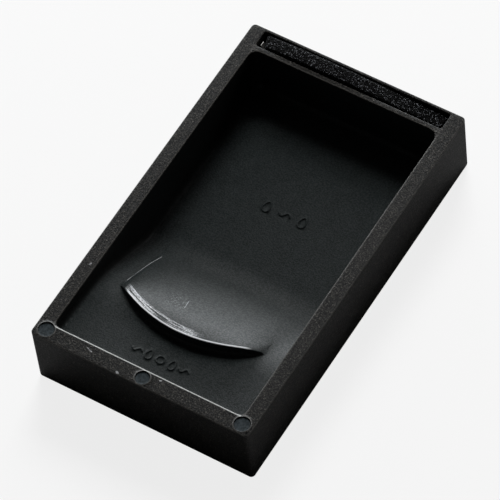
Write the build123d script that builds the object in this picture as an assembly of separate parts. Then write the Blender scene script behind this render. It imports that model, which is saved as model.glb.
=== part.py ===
# Double-sided school ink stone, lying with its liquid-ink face up.
# One moulding carries both working faces, and an anti-slip strip is taped into a slot at its far end.
# Millimetres. Origin: centre of the resting face. X runs across, Y towards the slot end, Z up.
import math
import os

from build123d import *

# Moulding
body_width = 76.7
body_length = 130.2
body_height = 24.4
corner_radius = 1.4
rim_round = 0.25
foot_round = 0.9

# Rims of the liquid-ink face
side_rim = 4.9
near_rim = 5.7
far_rim = 1.0
divider_wall = 1.7
mouth_round = 0.35

# Pond and its ramp
pond_depth = 18.1
pond_far_corner_radius = 3.2
pond_near_corner_radius = 2.2
pond_draft_angle = 1.0
pond_floor_round = 1.6
channel_ramp_angle = 26.5
tongue_ramp_angle = 30.0
toe_radius = 20.0

# Brush shelf beyond the lip, its length taken from the near wall to the lip's middle
shelf_length = 16.3
shelf_wall_depth = 3.5
shelf_tilt_angle = 4.0
shelf_brow_radius = 36.0

# Tongue and its bowed lip, its length taken from the lip's middle to the ramp's foot
tongue_length = 33.6
lip_radius = 42.0
lip_draft_angle = 3.2
lip_foot_round = 0.9
crest_round = 0.25
crest_depth = 0.7
crest_tilt_angle = 9.0
crest_brow_radius = 24.0
tongue_side_gap = 8.25
tongue_flank_width = 8.2

# Slot for the anti-slip strip
slot_width = 6.0
slot_depth = 4.2
slot_corner_radius = 0.8
slot_mouth_chamfer = 0.25

# Ejector-pin marks on the near rim
corner_mark_radius = 2.62
corner_mark_side_inset = 3.8
corner_mark_near_inset = 3.4
middle_mark_radius = 2.34
middle_mark_near_inset = 2.82
pin_mark_depth = 0.45

# Solid-ink face underneath
sea_side_rim = 4.9
sea_end_rim = 5.7
sea_corner_radius = 3.2
sea_draft_angle = 1.5
sea_floor_round = 1.6
sea_mouth_chamfer = 0.35
sea_length = 29.4
sea_depth = 13.8
land_depth = 2.4
bank_angle = 31.0
bank_radius = 17.0

# Anti-slip strip and its tape
strip_side_clearance = 0.3
strip_end_clearance = 0.3
strip_left_gap = 0.85
strip_end_slant = 1.7
strip_edge_round = 0.7
strip_rise = 1.0
strip_top_radius = 120.0
tape_thickness = 0.2
tape_inset = 0.3
tape_tail_height = 3.2
tape_tail_gap = 1.1
tape_tail_inset = 1.3
tape_tail_width = 1.6
tape_bend_radius = 0.5

# Corners of the strip's top: share of its length from the left, and share of its rise over the rim
strip_top_shares = [(0.0, 0.1), (0.14, 0.75), (0.36, 1.0), (0.62, 0.45), (0.86, -0.55), (1.0, -0.9)]

# Blend of the tongue's two sides: share of the way across, and share of the tongue's full height left
blend_shares = [(0.0, 1.0), (0.25, 0.97), (0.5, 0.87), (0.75, 0.66), (0.9, 0.44), (1.0, 0.0)]

# One overrun for every cut
overrun = 3.0

pond_half_width = body_width / 2 - side_rim
pond_near = near_rim - body_length / 2
slot_far = body_length / 2 - far_rim
slot_near = slot_far - slot_width
pond_far = slot_near - divider_wall
pond_floor = body_height - pond_depth
shelf_level = body_height - shelf_wall_depth
crest_level = body_height - crest_depth
lip_y = pond_near + shelf_length
ramp_foot = lip_y + tongue_length
tongue_half_width = pond_half_width - tongue_side_gap
slot_floor = body_height - slot_depth


def slope(angle):
    return math.tan(math.radians(angle))


def shelf_height(y):
    return shelf_level - (y - pond_near) * slope(shelf_tilt_angle)


def rounded_mouth(half, near, far, near_radius, far_radius):
    # Rectangle with its own corner radii at its near and far ends
    with BuildSketch() as outline:
        with Locations((0, (near + far) / 2)):
            Rectangle(2 * half, far - near)
        fillet(outline.vertices().group_by(Axis.Y)[0], near_radius)
        fillet(outline.vertices().group_by(Axis.Y)[-1], far_radius)
    return outline.sketch


def drafted_shaft(mouth, low, high, mouth_level, draft_angle):
    # The mouth's outline run from low to high, its walls drafted inwards away from the mouth's level
    shaft = extrude(Pos(0, 0, low) * mouth, amount=high - low)
    walls = shaft.faces().filter_by(Plane.XY, reverse=True)
    inwards = -draft_angle if mouth_level > (low + high) / 2 else draft_angle
    return draft(walls, Plane.XY.offset(mouth_level), inwards)


def is_steep(edge):
    start, end = edge.position_at(0), edge.position_at(1)
    return abs(end.Z - start.Z) > math.hypot(end.X - start.X, end.Y - start.Y)


def floor_edges(recess, half, near, far, mouth_level, inwards):
    # Edges where a recess's floor meets its walls, all the way round; inwards is 1 for up and -1 for down
    reach = overrun / 2
    found = []
    for edge in recess.edges():
        middle = edge.position_at(0.5)
        to_wall = min(half - abs(middle.X), middle.Y - near, far - middle.Y)
        depth = (middle.Z - mouth_level) * inwards
        if to_wall < reach < depth and not is_steep(edge):
            found.append(edge)
    return found


def floor_section(x, height_share):
    # Section of the air over the pond floor, ramp and brow; the share lifts the brow from shelf to crest
    ramp_angle = channel_ramp_angle + (tongue_ramp_angle - channel_ramp_angle) * height_share
    tilt = shelf_tilt_angle + (crest_tilt_angle - shelf_tilt_angle) * height_share
    brow_radius = shelf_brow_radius + (crest_brow_radius - shelf_brow_radius) * height_share
    lip_level = shelf_height(lip_y) + (crest_level - shelf_height(lip_y)) * height_share
    # The ramp line meets the brow line at the brow's corner
    run = (lip_level - tongue_length * slope(tilt) - pond_floor) / (slope(ramp_angle) - slope(tilt))
    brow = ramp_foot - run
    brow_level = pond_floor + run * slope(ramp_angle)
    near = pond_near - overrun
    far = pond_far + overrun
    near_level = brow_level + (brow - near) * slope(tilt)
    top = body_height + overrun
    plane = Plane(origin=(x, 0, 0), x_dir=(0, 1, 0), z_dir=(1, 0, 0))
    corners = [(far, pond_floor), (ramp_foot, pond_floor), (brow, brow_level), (near, near_level)]
    with BuildSketch(plane) as section:
        with BuildLine():
            FilletPolyline(*corners, radius=[toe_radius, brow_radius])
            Polyline((near, near_level), (near, top), (far, top), (far, pond_floor))
        make_face()
    return section.sketch


def pond_air():
    flat_half = tongue_half_width - tongue_flank_width
    outer = pond_half_width + overrun
    air = extrude(floor_section(-flat_half, 1), amount=2 * flat_half)
    for side in (-1, 1):
        sections = [floor_section(side * (flat_half + across * tongue_flank_width), left)
                    for across, left in blend_shares]
        # The last stretch has its own loft, so that the tongue runs out in a clean edge at its sides
        air += loft(sections[:-1]) + loft(sections[-2:])
        beside_tongue = floor_section(side * tongue_half_width, 0)
        air += extrude(beside_tongue, amount=side * (outer - tongue_half_width))
    return air


def shelf_air():
    # Air over the shelf and the two channels, outside the lip's arc, with a cove along the lip's foot
    outer = pond_half_width + overrun
    low = pond_floor - overrun
    high = body_height + 2 * overrun
    low_radius = lip_radius + (crest_level - low) * slope(lip_draft_angle)
    high_radius = lip_radius - (high - crest_level) * slope(lip_draft_angle)
    core = Cone(low_radius, high_radius, high - low, align=(Align.CENTER, Align.CENTER, Align.MIN))
    air = extrude(floor_section(-outer, 0), amount=2 * outer)
    air -= Pos(0, lip_y + lip_radius, low) * core
    air = air.solids().sort_by(Axis.Y)[0]
    wall = air.faces().filter_by(GeomType.CONE).sort_by(SortBy.AREA)[-1]
    foot = [edge for edge in wall.edges() if edge.center().Z < crest_level and not is_steep(edge)]
    return fillet(foot, lip_foot_round)


def liquid_ink_recess():
    mouth = rounded_mouth(pond_half_width, pond_near, pond_far,
                          pond_near_corner_radius, pond_far_corner_radius)
    shaft = drafted_shaft(mouth, pond_floor - overrun, body_height + overrun, body_height, pond_draft_angle)
    recess = (pond_air() + shelf_air()) & shaft
    floor = floor_edges(recess, pond_half_width, pond_near, pond_far, body_height, -1)
    recess = fillet(floor, pond_floor_round)
    # The crest's edges are those of the lip's wall that rise above the shelf
    lip_wall = recess.faces().filter_by(GeomType.CONE).sort_by(SortBy.AREA)[-1]
    crest = [edge for edge in lip_wall.edges() if edge.position_at(0.5).Z > shelf_level]
    return fillet(crest, crest_round)


def solid_ink_recess():
    # Land under the pond, a bank, and the deep sea under the shelf
    half = body_width / 2 - sea_side_rim
    near = sea_end_rim - body_length / 2
    far = -near
    bank_top = near + sea_length
    bank_foot = bank_top + (sea_depth - land_depth) / slope(bank_angle)
    mouth = rounded_mouth(half, near, far, sea_corner_radius, sea_corner_radius)
    shaft = drafted_shaft(mouth, -overrun, sea_depth + overrun, 0, sea_draft_angle)
    plane = Plane(origin=(-body_width / 2, 0, 0), x_dir=(0, 1, 0), z_dir=(1, 0, 0))
    corners = [(far + overrun, land_depth), (bank_foot, land_depth),
               (bank_top, sea_depth), (near - overrun, sea_depth)]
    with BuildSketch(plane) as section:
        with BuildLine():
            FilletPolyline(*corners, radius=[bank_radius, bank_radius])
            Polyline(corners[-1], (near - overrun, -overrun), (far + overrun, -overrun), corners[0])
        make_face()
    recess = extrude(section.sketch, amount=body_width) & shaft
    return fillet(floor_edges(recess, half, near, far, 0, 1), sea_floor_round)


def mouth_edges(block, face_order, mouth_near):
    # Edges of the mouth whose near side lies at mouth_near, in the block's lowest or highest face
    rim = block.faces().sort_by(Axis.Z)[face_order]
    mouth = min(rim.inner_wires(), key=lambda wire: abs(wire.bounding_box().min.Y - mouth_near))
    return mouth.edges()


def stone_body():
    with BuildSketch() as outline:
        RectangleRounded(body_width, body_length, corner_radius)
    block = extrude(outline.sketch, amount=body_height)
    block = fillet(block.faces().sort_by(Axis.Z)[-1].edges(), rim_round)
    block = fillet(block.faces().sort_by(Axis.Z)[0].edges(), foot_round)
    block -= liquid_ink_recess()
    block -= solid_ink_recess()
    slot = rounded_mouth(pond_half_width, slot_near, slot_far, slot_corner_radius, slot_corner_radius)
    block -= extrude(Pos(0, 0, slot_floor) * slot, amount=slot_depth + overrun)
    block = chamfer(mouth_edges(block, -1, slot_near), slot_mouth_chamfer)
    block = fillet(mouth_edges(block, -1, pond_near), mouth_round)
    block = chamfer(mouth_edges(block, 0, sea_end_rim - body_length / 2), sea_mouth_chamfer)
    mark_side = body_width / 2 - corner_mark_side_inset
    marks = [(-mark_side, corner_mark_near_inset, corner_mark_radius),
             (0, middle_mark_near_inset, middle_mark_radius),
             (mark_side, corner_mark_near_inset, corner_mark_radius)]
    for x, near_inset, radius in marks:
        mark = Cylinder(radius, pin_mark_depth + overrun, align=(Align.CENTER, Align.CENTER, Align.MIN))
        block -= Pos(x, near_inset - body_length / 2, body_height - pin_mark_depth) * mark
    return block


def strip_ends():
    left = strip_left_gap - pond_half_width
    right = pond_half_width - strip_end_clearance
    return left, right


def anti_slip_strip():
    left, right = strip_ends()
    length = right - left
    base = slot_floor + tape_thickness
    near = slot_near + strip_side_clearance
    far = slot_far - strip_side_clearance
    tops = [(left + along * length, body_height + up * strip_rise) for along, up in strip_top_shares]
    with BuildSketch(Plane.XZ.offset(-near)) as side:
        with BuildLine():
            FilletPolyline(*tops, radius=strip_top_radius)
            Polyline(tops[-1], (right, base), (left, base), tops[0])
        make_face()
    # The strip was cut on a slant at its left end, and is longer on its far side
    with BuildSketch(Plane.XY.offset(base)) as outline:
        with BuildLine():
            Polyline((left + strip_end_slant, near), (right, near), (right, far), (left, far),
                     (left + strip_end_slant, near))
        make_face()
    strip = extrude(side.sketch, amount=near - far) & extrude(outline.sketch, amount=slot_depth + overrun)
    crown = strip.faces().sort_by(Axis.Z)[-1]
    return fillet(crown.edges(), strip_edge_round)


def strip_tape():
    # Lies on the slot's floor, and a torn tail of it stands up beside the strip's slanted end
    left, right = strip_ends()
    tail = tape_tail_gap - pond_half_width
    level = slot_floor + tape_thickness / 2
    inset = strip_side_clearance + tape_inset
    covered = left + strip_end_slant
    film = Box(right - covered, slot_width - 2 * inset, tape_thickness, align=Align.MIN)
    film = Pos(covered, slot_near + inset, slot_floor) * film
    with BuildSketch(Plane.XZ.offset(-slot_near - tape_tail_inset)) as side:
        with BuildLine() as path:
            FilletPolyline((right, level), (tail, level), (tail, level + tape_tail_height),
                           radius=tape_bend_radius)
        trace(path.line, line_width=tape_thickness)
    return film + extrude(side.sketch, amount=-tape_tail_width)


os.makedirs("parts", exist_ok=True)
pieces = {
    "stone_body": stone_body(),
    "anti_slip_strip": anti_slip_strip(),
    "strip_tape": strip_tape(),
}
for name, piece in pieces.items():
    export_step(piece, f"parts/{name}.step")
    box = piece.bounding_box()
    print(name, "solids", len(piece.solids()), "valid", piece.is_valid, "volume", round(piece.volume, 1),
          "low", tuple(round(v, 2) for v in box.min), "high", tuple(round(v, 2) for v in box.max))
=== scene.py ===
import math

import bpy
import numpy as np
from mathutils import Euler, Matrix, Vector, noise
from mathutils.geometry import delaunay_2d_cdt


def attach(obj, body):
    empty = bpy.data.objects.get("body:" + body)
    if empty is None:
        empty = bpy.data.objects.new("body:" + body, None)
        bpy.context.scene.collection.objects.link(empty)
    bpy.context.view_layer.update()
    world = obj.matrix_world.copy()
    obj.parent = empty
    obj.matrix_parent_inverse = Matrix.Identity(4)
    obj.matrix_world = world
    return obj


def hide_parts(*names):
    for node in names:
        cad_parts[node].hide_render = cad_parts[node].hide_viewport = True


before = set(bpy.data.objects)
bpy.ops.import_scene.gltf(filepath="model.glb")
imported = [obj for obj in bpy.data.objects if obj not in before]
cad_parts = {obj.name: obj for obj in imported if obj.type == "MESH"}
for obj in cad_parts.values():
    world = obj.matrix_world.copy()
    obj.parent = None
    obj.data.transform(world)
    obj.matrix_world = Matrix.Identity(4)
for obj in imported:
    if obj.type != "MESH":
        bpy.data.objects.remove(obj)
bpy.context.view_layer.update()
mm = 0.001
fullShare = 0.4  # bands and strokes are full within this share of their half width
weldGap = 1e-7  # millimetres; points nearer than this become one
print("frame loaded:", sorted(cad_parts))


class Value:
    # wraps one node output, so that sums on it read as plain maths
    def __init__(self, graph, socket):
        self.graph = graph
        self.socket = socket

    def math(self, operation, *others, clamp=False):
        values = {0: self}
        values.update({i + 1: other for i, other in enumerate(others)})
        return self.graph.add("ShaderNodeMath", {"operation": operation, "use_clamp": clamp}, values)

    def __add__(self, other):
        return self.math("ADD", other)

    def __sub__(self, other):
        return self.math("SUBTRACT", other)

    def __mul__(self, other):
        return self.math("MULTIPLY", other)

    def __pow__(self, other):
        return self.math("POWER", other)

    def __rsub__(self, other):
        return (self * -1).math("ADD", other)

    def __abs__(self):
        return self.math("ABSOLUTE")

    __radd__ = __add__
    __rmul__ = __mul__

    def root(self):
        return self.math("SQRT")

    def least(self, other):
        return self.math("MINIMUM", other)

    def most(self, other):
        return self.math("MAXIMUM", other)

    def fade(self, low, high):
        # 0 at low and 1 at high, eased; low may be the larger
        return self.graph.add("ShaderNodeMapRange", {"interpolation_type": "SMOOTHSTEP"},
                              {"Value": self, "From Min": low, "From Max": high})

    def band(self, centre, half):
        # 1 at a value, 0 further from it than half
        return abs(self - centre).fade(half, half * fullShare)


class Graph:
    # a node tree, and the one method that adds any node to it
    def __init__(self, tree):
        self.tree = tree

    def add(self, kind, settings=None, values=None, out=0):
        made = self.tree.nodes.new(kind)
        for name, setting in (settings or {}).items():
            setattr(made, name, setting)
        for name, value in (values or {}).items():
            if isinstance(value, Value):
                self.tree.links.new(value.socket, made.inputs[name])
            elif made.inputs[name].type == "RGBA":
                made.inputs[name].default_value = (*value, 1)
            else:
                made.inputs[name].default_value = value
        return Value(self, made.outputs[out] if len(made.outputs) else None)


class Finish(Graph):
    # a material
    def __init__(self, name):
        self.material = bpy.data.materials.new(name)
        self.material.use_nodes = True
        super().__init__(self.material.node_tree)
        self.tree.nodes.clear()

    def place(self):
        # object coordinates in millimetres
        spot = self.add("ShaderNodeTexCoord", out="Object")
        return self.add("ShaderNodeVectorMath", {"operation": "SCALE"}, {0: spot, "Scale": 1 / mm})

    def split(self, spot):
        return [self.add("ShaderNodeSeparateXYZ", None, {0: spot}, out=axis) for axis in "XYZ"]

    def grain(self, spot, scale, detail, roughness):
        return self.add("ShaderNodeTexNoise", None,
                        {"Vector": spot, "Scale": scale, "Detail": detail, "Roughness": roughness})

    def blend(self, share, first, second):
        return self.add("ShaderNodeMix", {"data_type": "RGBA"}, {"Factor": share, 6: first, 7: second}, out=2)

    def stroke(self, x, y, start, end, width):
        # 1 along a short straight line in plan
        (x0, y0), (x1, y1) = start, end
        runX, runY = x1 - x0, y1 - y0
        square = runX ** 2 + runY ** 2
        alongX, alongY = (x - x0) * (runX / square), (y - y0) * (runY / square)
        share = alongX.math("MULTIPLY_ADD", 1.0, alongY, clamp=True)
        return planDistance(x - x0, y - y0, share * runX, share * runY).fade(width, width * fullShare)

    def bump(self, strength, depth, height):
        # depth in millimetres
        return self.add("ShaderNodeBump", None,
                        {"Strength": strength, "Distance": depth * mm, "Height": height})

    def coat(self, values):
        # closes the material with its surface
        skin = self.add("ShaderNodeBsdfPrincipled", None, values)
        return self.close(skin)

    def close(self, shader):
        self.add("ShaderNodeOutputMaterial", None, {"Surface": shader})
        return self.material


class Recipe(Graph):
    # a geometry node tree with named inputs
    def __init__(self, name, inputs):
        super().__init__(bpy.data.node_groups.new(name, "GeometryNodeTree"))
        self.keys = {}
        self.tree.interface.new_socket("Geometry", in_out="OUTPUT", socket_type="NodeSocketGeometry")
        for title, kind in inputs.items():
            made = self.tree.interface.new_socket(title, in_out="INPUT", socket_type="NodeSocket" + kind)
            self.keys[title] = made.identifier
        self.entry = self.tree.nodes.new("NodeGroupInput")

    def given(self, title):
        return Value(self, self.entry.outputs[title])

    def cook(self, piece, sizes):
        # gives the piece the mesh that the tree makes of it
        grower = piece.modifiers.new(self.tree.name, "NODES")
        grower.node_group = self.tree
        for title, value in sizes.items():
            grower[self.keys[title]] = value
        grown = piece.evaluated_get(bpy.context.evaluated_depsgraph_get())
        mesh = bpy.data.meshes.new_from_object(grown)
        piece.modifiers.remove(grower)
        piece.data = mesh


class Shell:
    # gathers rows of points in millimetres and the faces between them
    def __init__(self):
        self.points = []
        self.faces = []

    def row(self, flat, heights):
        first = len(self.points)
        heights = np.broadcast_to(heights, len(flat))
        self.points += [(float(x), float(y), float(z)) for (x, y), z in zip(flat, heights)]
        return list(range(first, len(self.points)))

    def flat(self, row):
        # the points of a row in plan
        return np.array([self.points[i][:2] for i in row])

    def bridge(self, lower, upper):
        # closed rows of equal count, counter-clockwise seen from outside with upper above lower
        count = len(lower)
        for i in range(count):
            j = (i + 1) % count
            self.faces.append((lower[i], lower[j], upper[j], upper[i]))

    def fill(self, outer, holes=(), rings=(), lines=(), spots=(), upwards=True):
        # triangles between closed rows, through inner rings, open lines and single points
        used = list(outer)
        edges = self.loopEdges(len(used), 0)
        for ring in list(holes) + list(rings):
            edges += self.loopEdges(len(ring), len(used))
            used += ring
        for line in lines:
            edges += [(len(used) + i, len(used) + i + 1) for i in range(len(line) - 1)]
            used += line
        used += list(spots)
        flat = self.flat(used)
        found = delaunay_2d_cdt([Vector(p) for p in flat.tolist()], edges, [], 0, weldGap, True)
        faces, groups = found[2], found[3]
        origin = [group[0] for group in groups]
        triangles = np.array([[origin[i] for i in face] for face in faces])
        middles = flat[triangles].mean(axis=1)
        keep = self.inside(middles, flat[:len(outer)])
        for hole in holes:
            keep &= ~self.inside(middles, self.flat(hole))
        for a, b, c in triangles[keep].tolist():
            self.faces.append((used[a], used[b], used[c]) if upwards else (used[c], used[b], used[a]))

    @staticmethod
    def loopEdges(count, first):
        return [(first + i, first + (i + 1) % count) for i in range(count)]

    @staticmethod
    def inside(spots, loop):
        # which spots lie inside a loop in plan
        result = np.zeros(len(spots), bool)
        ahead = np.roll(loop, -1, axis=0)
        for (x0, y0), (x1, y1) in zip(loop.tolist(), ahead.tolist()):
            if y0 != y1:
                crosses = (spots[:, 1] < y0) != (spots[:, 1] < y1)
                result ^= crosses & (spots[:, 0] < x0 + (spots[:, 1] - y0) * (x1 - x0) / (y1 - y0))
        return result

    def build(self, name, material, sharpAbove=None):
        mesh = bpy.data.meshes.new(name)
        mesh.from_pydata([(x * mm, y * mm, z * mm) for x, y, z in self.points], [], self.faces)
        mesh.validate()
        mesh.shade_smooth()
        if sharpAbove:
            mesh.set_sharp_from_angle(angle=math.radians(sharpAbove))
        mesh.materials.append(material)
        piece = bpy.data.objects.new(name, mesh)
        bpy.context.scene.collection.objects.link(piece)
        return piece


def roundedLoop(half, near, far, nearRadius, farRadius, step, turns=9):
    # counter-clockwise rounded rectangle: points and the directions that point outwards
    points, outwards = [], []
    corners = [((half, near), nearRadius, -90), ((half, far), farRadius, 0),
               ((-half, far), farRadius, 90), ((-half, near), nearRadius, 180)]
    for index, ((x, y), radius, start) in enumerate(corners):
        centre = np.array([x - math.copysign(radius, x), y + radius if y == near else y - radius])
        for angle in np.radians(np.linspace(start, start + 90, turns)):
            direction = np.array([math.cos(angle), math.sin(angle)])
            points.append(centre + radius * direction)
            outwards.append(direction)
        (nextX, nextY), nextRadius, nextStart = corners[(index + 1) % 4]
        nextCentre = np.array([nextX - math.copysign(nextRadius, nextX),
                               nextY + nextRadius if nextY == near else nextY - nextRadius])
        last = points[-1]
        nextAngle = math.radians(nextStart)
        goal = nextCentre + nextRadius * np.array([math.cos(nextAngle), math.sin(nextAngle)])
        count = max(2, round(float(np.linalg.norm(goal - last)) / step))
        for i in range(1, count):
            points.append(last + (goal - last) * i / count)
            outwards.append(outwards[-1])
    return np.array(points), np.array(outwards)


def slope(angle):
    return math.tan(math.radians(angle))


def roundSteps(size, turns):
    # along a quarter round: how far each step is from the tangent at its end, and at its start
    return [(size * (1 - math.sin(angle)), size * (1 - math.cos(angle))) for angle in np.radians(turns)]


def crowded(x, y, spots, clear):
    # which places in plan are within clear of any of the spots
    result = np.zeros(len(x), bool)
    for spotX, spotY in spots:
        result |= np.hypot(x - spotX, y - spotY) <= clear
    return result


def planDistance(x, y, midX, midY):
    # from one place in plan to another
    return ((x - midX) ** 2 + (y - midY) ** 2).root()


# the stone's shape in millimetres and degrees; lipDraft is a tangent
stone = {
    "width": 76.7, "length": 130.2, "height": 24.4,
    "cornerRadius": 1.4, "rimRound": 0.25, "footRound": 0.9,
    "sideRim": 4.9, "nearRim": 5.7, "farRim": 1.0, "dividerWall": 1.7, "mouthRound": 0.35,
    "pondDepth": 18.1, "pondFarRadius": 3.2, "pondNearRadius": 2.2, "pondDraft": 1.0, "floorRound": 1.6,
    "shelfLength": 16.3, "shelfDepth": 3.5, "shelfTilt": 4.0, "shelfBrow": 36.0,
    "tongueLength": 33.6, "channelAngle": 26.5, "rampAngle": 30.0, "toeRadius": 20.0,
    "crestDepth": 0.7, "crestTilt": 9.0, "crestBrow": 24.0, "crestRound": 0.25,
    "lipRadius": 42.0, "lipDraft": 0.056, "lipFootRound": 0.9, "tongueHalf": 25.2, "flankWidth": 8.2,
    # the right flank runs out softly between two shares of its width, from softBehind on
    "softFromShare": 0.45, "softToShare": 1.35, "softBehind": -34.4, "softRun": 5.0,
    "slotWidth": 6.0, "slotDepth": 4.2, "slotRadius": 0.8, "slotRound": 0.25,
    "slotDraft": 0.4, "slotFloorRound": 0.3,
    # pin marks: middle and radius, then their section as places beyond the radius and above the rim
    "marks": [(-34.55, -61.7, 2.62), (0.0, -62.28, 2.34), (34.55, -61.7, 2.62)],
    "markSection": [(0.13, 0.0), (0.09, 0.05), (0.04, 0.05), (0.0, -0.02), (-0.04, -0.225),
                    (-0.1, -0.405), (-0.2, -0.45), (-1.0, -0.45), (-1.9, -0.45)],
    # rows of plain raised signs on the pond's floor and on the shelf, and the line that they are made of
    "signs": {
        "pond": {"kinds": ["drop", "wave", "drop"], "middle": (0.2, 17.5), "pitch": 6.4, "size": 3.9},
        "shelf": {"kinds": ["wave", "drop", "ring", "drop", "wave"], "middle": (0.0, -52.6),
                  "pitch": 4.1, "size": 3.3},
        "dropNeckShare": 0.55, "halfWidthShare": 0.4, "halfHeightShare": 0.5, "waveShare": 0.2,
        "lineHalf": 0.25, "height": 0.28,
        "sectionShares": [(1.0, 0.0), (0.8, 0.35), (0.55, 0.85), (0.3, 1.0)],
        "loopPoints": 32, "wavePoints": 25, "capTurn": [-60, -30, 0, 30, 60],
    },
    # the solid-ink face, measured up from the foot
    "underside": {
        "sideRim": 4.9, "endRim": 5.7, "corner": 3.2, "mouthRound": 0.35, "draft": 1.5, "floorRound": 1.6,
        "seaDepth": 13.8, "landDepth": 2.4, "bankTop": -30.0, "bankAngle": 31.0, "bankRadius": 17.0,
    },
    # where the mesh has its rows, and how far its free points keep clear of them
    "spacing": {
        "step": 0.8, "coarseTurn": [0, 22, 45, 68, 90], "fineTurn": [0, 18, 36, 54, 72, 90],
        "sideRows": 9, "sideFrom": 2.5, "sideTo": 2.0, "wellShares": [0.12, 0.3, 0.5, 0.7, 0.88, 1.0],
        "lipColumns": 131, "lipTip": 0.25, "crestBack": 0.3, "footAhead": 1.0,
        "leastRise": 0.06, "crestShare": 0.35, "footShare": 0.5,
        "crestGuards": [1.4, 0.8, 0.35], "crestTurn": [0, 20, 40, 60, 80], "lipShares": [0.1, 0.5, 0.9],
        "footTurn": [10, 30, 50, 70, 90], "footGuards": [0.4, 1.0],
        "flankFrom": -32.2, "flankTo": -10.0, "flankStep": 0.9,
        "flankOffsets": [0.5, 0.1, 0.0, -0.05, -0.18, -0.4, -0.8, -1.5],
        "rowClear": 0.45, "signClear": 0.3, "markClear": 0.4, "tipClear": 0.2,
        "lipClear": (-2.1, 2.4), "flankClear": (-2.0, 0.9), "flankReach": (-32.8, -9.5),
        "wellInset": 0.5, "shelfGrid": 0.9, "rampGrid": 0.5, "pondGrid": 1.0,
        "rampNear": -44.0, "rampFar": -4.0,
        "slotTurns": 5, "rimInset": 0.9, "rimGrid": 1.0, "markTurn": 7.5,
        "seaStep": 1.2, "seaInset": 0.7, "seaGrid": 1.5, "bankGrid": 0.7, "seaClear": 0.6,
        "bankNear": -36.0, "bankFar": -4.0,
    },
}
signs, underside, spacing = stone["signs"], stone["underside"], stone["spacing"]

halfWidth = stone["width"] / 2
halfLength = stone["length"] / 2
top = stone["height"]
pondHalf = halfWidth - stone["sideRim"]
pondNear = stone["nearRim"] - halfLength
slotFar = halfLength - stone["farRim"]
slotNear = slotFar - stone["slotWidth"]
pondFar = slotNear - stone["dividerWall"]
pondFloor = top - stone["pondDepth"]
lipY = pondNear + stone["shelfLength"]
rampFoot = lipY + stone["tongueLength"]
lipCentre = lipY + stone["lipRadius"]
seaHalf = halfWidth - underside["sideRim"]
seaEnd = halfLength - underside["endRim"]


def shelfHeight(y):
    return top - stone["shelfDepth"] - (y - pondNear) * slope(stone["shelfTilt"])


def tongueShare(x, y):
    # 1 on the tongue's back, 0 beside it; behind the lip the right flank runs out softly
    start, stop = stone["softFromShare"], stone["softToShare"]
    across = (np.abs(x) - (stone["tongueHalf"] - stone["flankWidth"])) / stone["flankWidth"]
    across = np.clip(across, 0, stop)
    crisp = np.sqrt(np.maximum(1 - across ** 2, 0))
    level = math.sqrt(1 - start ** 2)
    fall = -start / level * (stop - start)
    tail = np.clip((across - start) / (stop - start), 0, 1)
    ease = level * (2 * tail ** 3 - 3 * tail ** 2 + 1) + fall * (tail ** 3 - 2 * tail ** 2 + tail)
    softness = np.where(np.asarray(x) > 0, np.clip((y - stone["softBehind"]) / stone["softRun"], 0, 1), 0)
    return crisp + (np.where(across < start, crisp, ease) - crisp) * softness


def pondLine(y, share):
    # height of the pond's floor, toe arc, ramp, brow arc and crest line
    # share lifts the brow from the shelf's level to the crest's
    tilt = np.radians(stone["shelfTilt"] + (stone["crestTilt"] - stone["shelfTilt"]) * share)
    browRadius = stone["shelfBrow"] + (stone["crestBrow"] - stone["shelfBrow"]) * share
    lipLevel = shelfHeight(lipY) + (top - stone["crestDepth"] - shelfHeight(lipY)) * share
    ramp = np.radians(stone["channelAngle"] + (stone["rampAngle"] - stone["channelAngle"]) * share)
    run = (lipLevel - stone["tongueLength"] * np.tan(tilt) - pondFloor) / (np.tan(ramp) - np.tan(tilt))
    brow = rampFoot - run
    browLevel = pondFloor + run * np.tan(ramp)
    height = np.where(y > brow, pondFloor + np.maximum(rampFoot - y, 0) * np.tan(ramp),
                      browLevel + (brow - y) * np.tan(tilt))
    toeRadius = stone["toeRadius"]
    toe = toeRadius * np.tan(ramp / 2)
    inToe = (y < rampFoot + toe) & (y > rampFoot - toe * np.cos(ramp))
    reach = np.clip(y - rampFoot - toe, -toeRadius, 0)
    height = np.where(inToe, pondFloor + toeRadius - np.sqrt(toeRadius ** 2 - reach ** 2), height)
    bend = browRadius * np.tan((ramp - tilt) / 2)
    centreY = brow + bend * np.cos(ramp) - browRadius * np.sin(ramp)
    centreZ = browLevel - bend * np.sin(ramp) - browRadius * np.cos(ramp)
    inBrow = (y < brow + bend * np.cos(ramp)) & (y > brow - bend * np.cos(tilt))
    rise = np.sqrt(np.maximum(browRadius ** 2 - (y - centreY) ** 2, 0))
    return np.where(inBrow, centreZ + rise, height)


def lipWall(z):
    # distance of the lip's wall from the lip's centre, at a height
    return stone["lipRadius"] + stone["lipDraft"] * (top - stone["crestDepth"] - z)


def recessFloor(x, y):
    # the floor without the lip's own rounds
    x, y = np.asarray(x, float), np.asarray(y, float)
    inner = pondLine(y, tongueShare(x, y))
    outer = pondLine(y, 0.0)
    beyond = (np.hypot(x, y - lipCentre) > lipWall(inner)) & (y < lipCentre)
    return np.where(beyond, outer, inner)


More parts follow.
